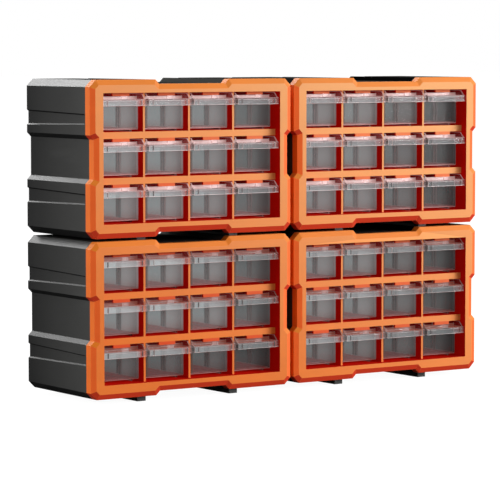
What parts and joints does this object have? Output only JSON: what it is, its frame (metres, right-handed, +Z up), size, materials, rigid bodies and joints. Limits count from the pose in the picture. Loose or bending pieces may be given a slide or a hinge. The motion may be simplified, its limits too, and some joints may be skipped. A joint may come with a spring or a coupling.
{
  "type": "parts bin cabinet",
  "caption": "Block of interlocking drawer modules for small parts: chamfered orange fronts, dark rear shells and smoky clear drawers that pull out against stop tabs.",
  "frame": {"origin": "middle of the block's footprint, at the floor that its rails stand on", "axes": "+X to the viewer's right across the width, -Y out of the drawer fronts, +Z up"},
  "size_m": [0.564, 0.146, 0.3706],
  "materials": {
    "orange_plastic": "satin moulded polystyrene",
    "dark_plastic": "fine matt texture",
    "screw_steel": "zinc plated",
    "smoky_drawer_plastic": "smoky see-through, glossy"
  },
  "bodies": {
    "cabinet_block": {"lower_left_front_frame": "orange_plastic", "lower_right_front_frame": "orange_plastic", "upper_left_front_frame": "orange_plastic", "upper_right_front_frame": "orange_plastic", "lower_left_rear_shell": "dark_plastic", "lower_right_rear_shell": "dark_plastic", "upper_left_rear_shell": "dark_plastic", "upper_right_rear_shell": "dark_plastic", "lower_left_case_screws": "screw_steel", "lower_right_case_screws": "screw_steel", "upper_left_case_screws": "screw_steel", "upper_right_case_screws": "screw_steel"},
    "lower_left_drawer_r1_c1": {"lower_left_drawer_r1_c1": "smoky_drawer_plastic"},
    "lower_left_drawer_r1_c2": {"lower_left_drawer_r1_c2": "smoky_drawer_plastic"},
    "lower_left_drawer_r1_c3": {"lower_left_drawer_r1_c3": "smoky_drawer_plastic"},
    "lower_left_drawer_r1_c4": {"lower_left_drawer_r1_c4": "smoky_drawer_plastic"},
    "lower_left_drawer_r2_c1": {"lower_left_drawer_r2_c1": "smoky_drawer_plastic"},
    "lower_left_drawer_r2_c2": {"lower_left_drawer_r2_c2": "smoky_drawer_plastic"},
    "lower_left_drawer_r2_c3": {"lower_left_drawer_r2_c3": "smoky_drawer_plastic"},
    "lower_left_drawer_r2_c4": {"lower_left_drawer_r2_c4": "smoky_drawer_plastic"},
    "lower_left_drawer_r3_c1": {"lower_left_drawer_r3_c1": "smoky_drawer_plastic"},
    "lower_left_drawer_r3_c2": {"lower_left_drawer_r3_c2": "smoky_drawer_plastic"},
    "lower_left_drawer_r3_c3": {"lower_left_drawer_r3_c3": "smoky_drawer_plastic"},
    "lower_left_drawer_r3_c4": {"lower_left_drawer_r3_c4": "smoky_drawer_plastic"},
    "lower_right_drawer_r1_c1": {"lower_right_drawer_r1_c1": "smoky_drawer_plastic"},
    "lower_right_drawer_r1_c2": {"lower_right_drawer_r1_c2": "smoky_drawer_plastic"},
    "lower_right_drawer_r1_c3": {"lower_right_drawer_r1_c3": "smoky_drawer_plastic"},
    "lower_right_drawer_r1_c4": {"lower_right_drawer_r1_c4": "smoky_drawer_plastic"},
    "lower_right_drawer_r2_c1": {"lower_right_drawer_r2_c1": "smoky_drawer_plastic"},
    "lower_right_drawer_r2_c2": {"lower_right_drawer_r2_c2": "smoky_drawer_plastic"},
    "lower_right_drawer_r2_c3": {"lower_right_drawer_r2_c3": "smoky_drawer_plastic"},
    "lower_right_drawer_r2_c4": {"lower_right_drawer_r2_c4": "smoky_drawer_plastic"},
    "lower_right_drawer_r3_c1": {"lower_right_drawer_r3_c1": "smoky_drawer_plastic"},
    "lower_right_drawer_r3_c2": {"lower_right_drawer_r3_c2": "smoky_drawer_plastic"},
    "lower_right_drawer_r3_c3": {"lower_right_drawer_r3_c3": "smoky_drawer_plastic"},
    "lower_right_drawer_r3_c4": {"lower_right_drawer_r3_c4": "smoky_drawer_plastic"},
    "upper_left_drawer_r1_c1": {"upper_left_drawer_r1_c1": "smoky_drawer_plastic"},
    "upper_left_drawer_r1_c2": {"upper_left_drawer_r1_c2": "smoky_drawer_plastic"},
    "upper_left_drawer_r1_c3": {"upper_left_drawer_r1_c3": "smoky_drawer_plastic"},
    "upper_left_drawer_r1_c4": {"upper_left_drawer_r1_c4": "smoky_drawer_plastic"},
    "upper_left_drawer_r2_c1": {"upper_left_drawer_r2_c1": "smoky_drawer_plastic"},
    "upper_left_drawer_r2_c2": {"upper_left_drawer_r2_c2": "smoky_drawer_plastic"},
    "upper_left_drawer_r2_c3": {"upper_left_drawer_r2_c3": "smoky_drawer_plastic"},
    "upper_left_drawer_r2_c4": {"upper_left_drawer_r2_c4": "smoky_drawer_plastic"},
    "upper_left_drawer_r3_c1": {"upper_left_drawer_r3_c1": "smoky_drawer_plastic"},
    "upper_left_drawer_r3_c2": {"upper_left_drawer_r3_c2": "smoky_drawer_plastic"},
    "upper_left_drawer_r3_c3": {"upper_left_drawer_r3_c3": "smoky_drawer_plastic"},
    "upper_left_drawer_r3_c4": {"upper_left_drawer_r3_c4": "smoky_drawer_plastic"},
    "upper_right_drawer_r1_c1": {"upper_right_drawer_r1_c1": "smoky_drawer_plastic"},
    "upper_right_drawer_r1_c2": {"upper_right_drawer_r1_c2": "smoky_drawer_plastic"},
    "upper_right_drawer_r1_c3": {"upper_right_drawer_r1_c3": "smoky_drawer_plastic"},
    "upper_right_drawer_r1_c4": {"upper_right_drawer_r1_c4": "smoky_drawer_plastic"},
    "upper_right_drawer_r2_c1": {"upper_right_drawer_r2_c1": "smoky_drawer_plastic"},
    "upper_right_drawer_r2_c2": {"upper_right_drawer_r2_c2": "smoky_drawer_plastic"},
    "upper_right_drawer_r2_c3": {"upper_right_drawer_r2_c3": "smoky_drawer_plastic"},
    "upper_right_drawer_r2_c4": {"upper_right_drawer_r2_c4": "smoky_drawer_plastic"},
    "upper_right_drawer_r3_c1": {"upper_right_drawer_r3_c1": "smoky_drawer_plastic"},
    "upper_right_drawer_r3_c2": {"upper_right_drawer_r3_c2": "smoky_drawer_plastic"},
    "upper_right_drawer_r3_c3": {"upper_right_drawer_r3_c3": "smoky_drawer_plastic"},
    "upper_right_drawer_r3_c4": {"upper_right_drawer_r3_c4": "smoky_drawer_plastic"}
  },
  "joints": [
    {"name": "lower_left_drawer_r1_c1_slide", "type": "slide", "parent": "cabinet_block", "child": "lower_left_drawer_r1_c1", "axis": [0, -1, 0], "range_m": [0, 0.128]},
    {"name": "lower_left_drawer_r1_c2_slide", "type": "slide", "parent": "cabinet_block", "child": "lower_left_drawer_r1_c2", "axis": [0, -1, 0], "range_m": [0, 0.128]},
    {"name": "lower_left_drawer_r1_c3_slide", "type": "slide", "parent": "cabinet_block", "child": "lower_left_drawer_r1_c3", "axis": [0, -1, 0], "range_m": [0, 0.128]},
    {"name": "lower_left_drawer_r1_c4_slide", "type": "slide", "parent": "cabinet_block", "child": "lower_left_drawer_r1_c4", "axis": [0, -1, 0], "range_m": [0, 0.128]},
    {"name": "lower_left_drawer_r2_c1_slide", "type": "slide", "parent": "cabinet_block", "child": "lower_left_drawer_r2_c1", "axis": [0, -1, 0], "range_m": [0, 0.128]},
    {"name": "lower_left_drawer_r2_c2_slide", "type": "slide", "parent": "cabinet_block", "child": "lower_left_drawer_r2_c2", "axis": [0, -1, 0], "range_m": [0, 0.128]},
    {"name": "lower_left_drawer_r2_c3_slide", "type": "slide", "parent": "cabinet_block", "child": "lower_left_drawer_r2_c3", "axis": [0, -1, 0], "range_m": [0, 0.128]},
    {"name": "lower_left_drawer_r2_c4_slide", "type": "slide", "parent": "cabinet_block", "child": "lower_left_drawer_r2_c4", "axis": [0, -1, 0], "range_m": [0, 0.128]},
    {"name": "lower_left_drawer_r3_c1_slide", "type": "slide", "parent": "cabinet_block", "child": "lower_left_drawer_r3_c1", "axis": [0, -1, 0], "range_m": [0, 0.128]},
    {"name": "lower_left_drawer_r3_c2_slide", "type": "slide", "parent": "cabinet_block", "child": "lower_left_drawer_r3_c2", "axis": [0, -1, 0], "range_m": [0, 0.128]},
    {"name": "lower_left_drawer_r3_c3_slide", "type": "slide", "parent": "cabinet_block", "child": "lower_left_drawer_r3_c3", "axis": [0, -1, 0], "range_m": [0, 0.128]},
    {"name": "lower_left_drawer_r3_c4_slide", "type": "slide", "parent": "cabinet_block", "child": "lower_left_drawer_r3_c4", "axis": [0, -1, 0], "range_m": [0, 0.128]},
    {"name": "lower_right_drawer_r1_c1_slide", "type": "slide", "parent": "cabinet_block", "child": "lower_right_drawer_r1_c1", "axis": [0, -1, 0], "range_m": [0, 0.128]},
    {"name": "lower_right_drawer_r1_c2_slide", "type": "slide", "parent": "cabinet_block", "child": "lower_right_drawer_r1_c2", "axis": [0, -1, 0], "range_m": [0, 0.128]},
    {"name": "lower_right_drawer_r1_c3_slide", "type": "slide", "parent": "cabinet_block", "child": "lower_right_drawer_r1_c3", "axis": [0, -1, 0], "range_m": [0, 0.128]},
    {"name": "lower_right_drawer_r1_c4_slide", "type": "slide", "parent": "cabinet_block", "child": "lower_right_drawer_r1_c4", "axis": [0, -1, 0], "range_m": [0, 0.128]},
    {"name": "lower_right_drawer_r2_c1_slide", "type": "slide", "parent": "cabinet_block", "child": "lower_right_drawer_r2_c1", "axis": [0, -1, 0], "range_m": [0, 0.128]},
    {"name": "lower_right_drawer_r2_c2_slide", "type": "slide", "parent": "cabinet_block", "child": "lower_right_drawer_r2_c2", "axis": [0, -1, 0], "range_m": [0, 0.128]},
    {"name": "lower_right_drawer_r2_c3_slide", "type": "slide", "parent": "cabinet_block", "child": "lower_right_drawer_r2_c3", "axis": [0, -1, 0], "range_m": [0, 0.128]},
    {"name": "lower_right_drawer_r2_c4_slide", "type": "slide", "parent": "cabinet_block", "child": "lower_right_drawer_r2_c4", "axis": [0, -1, 0], "range_m": [0, 0.128]},
    {"name": "lower_right_drawer_r3_c1_slide", "type": "slide", "parent": "cabinet_block", "child": "lower_right_drawer_r3_c1", "axis": [0, -1, 0], "range_m": [0, 0.128]},
    {"name": "lower_right_drawer_r3_c2_slide", "type": "slide", "parent": "cabinet_block", "child": "lower_right_drawer_r3_c2", "axis": [0, -1, 0], "range_m": [0, 0.128]},
    {"name": "lower_right_drawer_r3_c3_slide", "type": "slide", "parent": "cabinet_block", "child": "lower_right_drawer_r3_c3", "axis": [0, -1, 0], "range_m": [0, 0.128]},
    {"name": "lower_right_drawer_r3_c4_slide", "type": "slide", "parent": "cabinet_block", "child": "lower_right_drawer_r3_c4", "axis": [0, -1, 0], "range_m": [0, 0.128]},
    {"name": "upper_left_drawer_r1_c1_slide", "type": "slide", "parent": "cabinet_block", "child": "upper_left_drawer_r1_c1", "axis": [0, -1, 0], "range_m": [0, 0.128]},
    {"name": "upper_left_drawer_r1_c2_slide", "type": "slide", "parent": "cabinet_block", "child": "upper_left_drawer_r1_c2", "axis": [0, -1, 0], "range_m": [0, 0.128]},
    {"name": "upper_left_drawer_r1_c3_slide", "type": "slide", "parent": "cabinet_block", "child": "upper_left_drawer_r1_c3", "axis": [0, -1, 0], "range_m": [0, 0.128]},
    {"name": "upper_left_drawer_r1_c4_slide", "type": "slide", "parent": "cabinet_block", "child": "upper_left_drawer_r1_c4", "axis": [0, -1, 0], "range_m": [0, 0.128]},
    {"name": "upper_left_drawer_r2_c1_slide", "type": "slide", "parent": "cabinet_block", "child": "upper_left_drawer_r2_c1", "axis": [0, -1, 0], "range_m": [0, 0.128]},
    {"name": "upper_left_drawer_r2_c2_slide", "type": "slide", "parent": "cabinet_block", "child": "upper_left_drawer_r2_c2", "axis": [0, -1, 0], "range_m": [0, 0.128]},
    {"name": "upper_left_drawer_r2_c3_slide", "type": "slide", "parent": "cabinet_block", "child": "upper_left_drawer_r2_c3", "axis": [0, -1, 0], "range_m": [0, 0.128]},
    {"name": "upper_left_drawer_r2_c4_slide", "type": "slide", "parent": "cabinet_block", "child": "upper_left_drawer_r2_c4", "axis": [0, -1, 0], "range_m": [0, 0.128]},
    {"name": "upper_left_drawer_r3_c1_slide", "type": "slide", "parent": "cabinet_block", "child": "upper_left_drawer_r3_c1", "axis": [0, -1, 0], "range_m": [0, 0.128]},
    {"name": "upper_left_drawer_r3_c2_slide", "type": "slide", "parent": "cabinet_block", "child": "upper_left_drawer_r3_c2", "axis": [0, -1, 0], "range_m": [0, 0.128]},
    {"name": "upper_left_drawer_r3_c3_slide", "type": "slide", "parent": "cabinet_block", "child": "upper_left_drawer_r3_c3", "axis": [0, -1, 0], "range_m": [0, 0.128]},
    {"name": "upper_left_drawer_r3_c4_slide", "type": "slide", "parent": "cabinet_block", "child": "upper_left_drawer_r3_c4", "axis": [0, -1, 0], "range_m": [0, 0.128]},
    {"name": "upper_right_drawer_r1_c1_slide", "type": "slide", "parent": "cabinet_block", "child": "upper_right_drawer_r1_c1", "axis": [0, -1, 0], "range_m": [0, 0.128]},
    {"name": "upper_right_drawer_r1_c2_slide", "type": "slide", "parent": "cabinet_block", "child": "upper_right_drawer_r1_c2", "axis": [0, -1, 0], "range_m": [0, 0.128]},
    {"name": "upper_right_drawer_r1_c3_slide", "type": "slide", "parent": "cabinet_block", "child": "upper_right_drawer_r1_c3", "axis": [0, -1, 0], "range_m": [0, 0.128]},
    {"name": "upper_right_drawer_r1_c4_slide", "type": "slide", "parent": "cabinet_block", "child": "upper_right_drawer_r1_c4", "axis": [0, -1, 0], "range_m": [0, 0.128]},
    {"name": "upper_right_drawer_r2_c1_slide", "type": "slide", "parent": "cabinet_block", "child": "upper_right_drawer_r2_c1", "axis": [0, -1, 0], "range_m": [0, 0.128]},
    {"name": "upper_right_drawer_r2_c2_slide", "type": "slide", "parent": "cabinet_block", "child": "upper_right_drawer_r2_c2", "axis": [0, -1, 0], "range_m": [0, 0.128]},
    {"name": "upper_right_drawer_r2_c3_slide", "type": "slide", "parent": "cabinet_block", "child": "upper_right_drawer_r2_c3", "axis": [0, -1, 0], "range_m": [0, 0.128]},
    {"name": "upper_right_drawer_r2_c4_slide", "type": "slide", "parent": "cabinet_block", "child": "upper_right_drawer_r2_c4", "axis": [0, -1, 0], "range_m": [0, 0.128]},
    {"name": "upper_right_drawer_r3_c1_slide", "type": "slide", "parent": "cabinet_block", "child": "upper_right_drawer_r3_c1", "axis": [0, -1, 0], "range_m": [0, 0.128]},
    {"name": "upper_right_drawer_r3_c2_slide", "type": "slide", "parent": "cabinet_block", "child": "upper_right_drawer_r3_c2", "axis": [0, -1, 0], "range_m": [0, 0.128]},
    {"name": "upper_right_drawer_r3_c3_slide", "type": "slide", "parent": "cabinet_block", "child": "upper_right_drawer_r3_c3", "axis": [0, -1, 0], "range_m": [0, 0.128]},
    {"name": "upper_right_drawer_r3_c4_slide", "type": "slide", "parent": "cabinet_block", "child": "upper_right_drawer_r3_c4", "axis": [0, -1, 0], "range_m": [0, 0.128]}
  ]
}
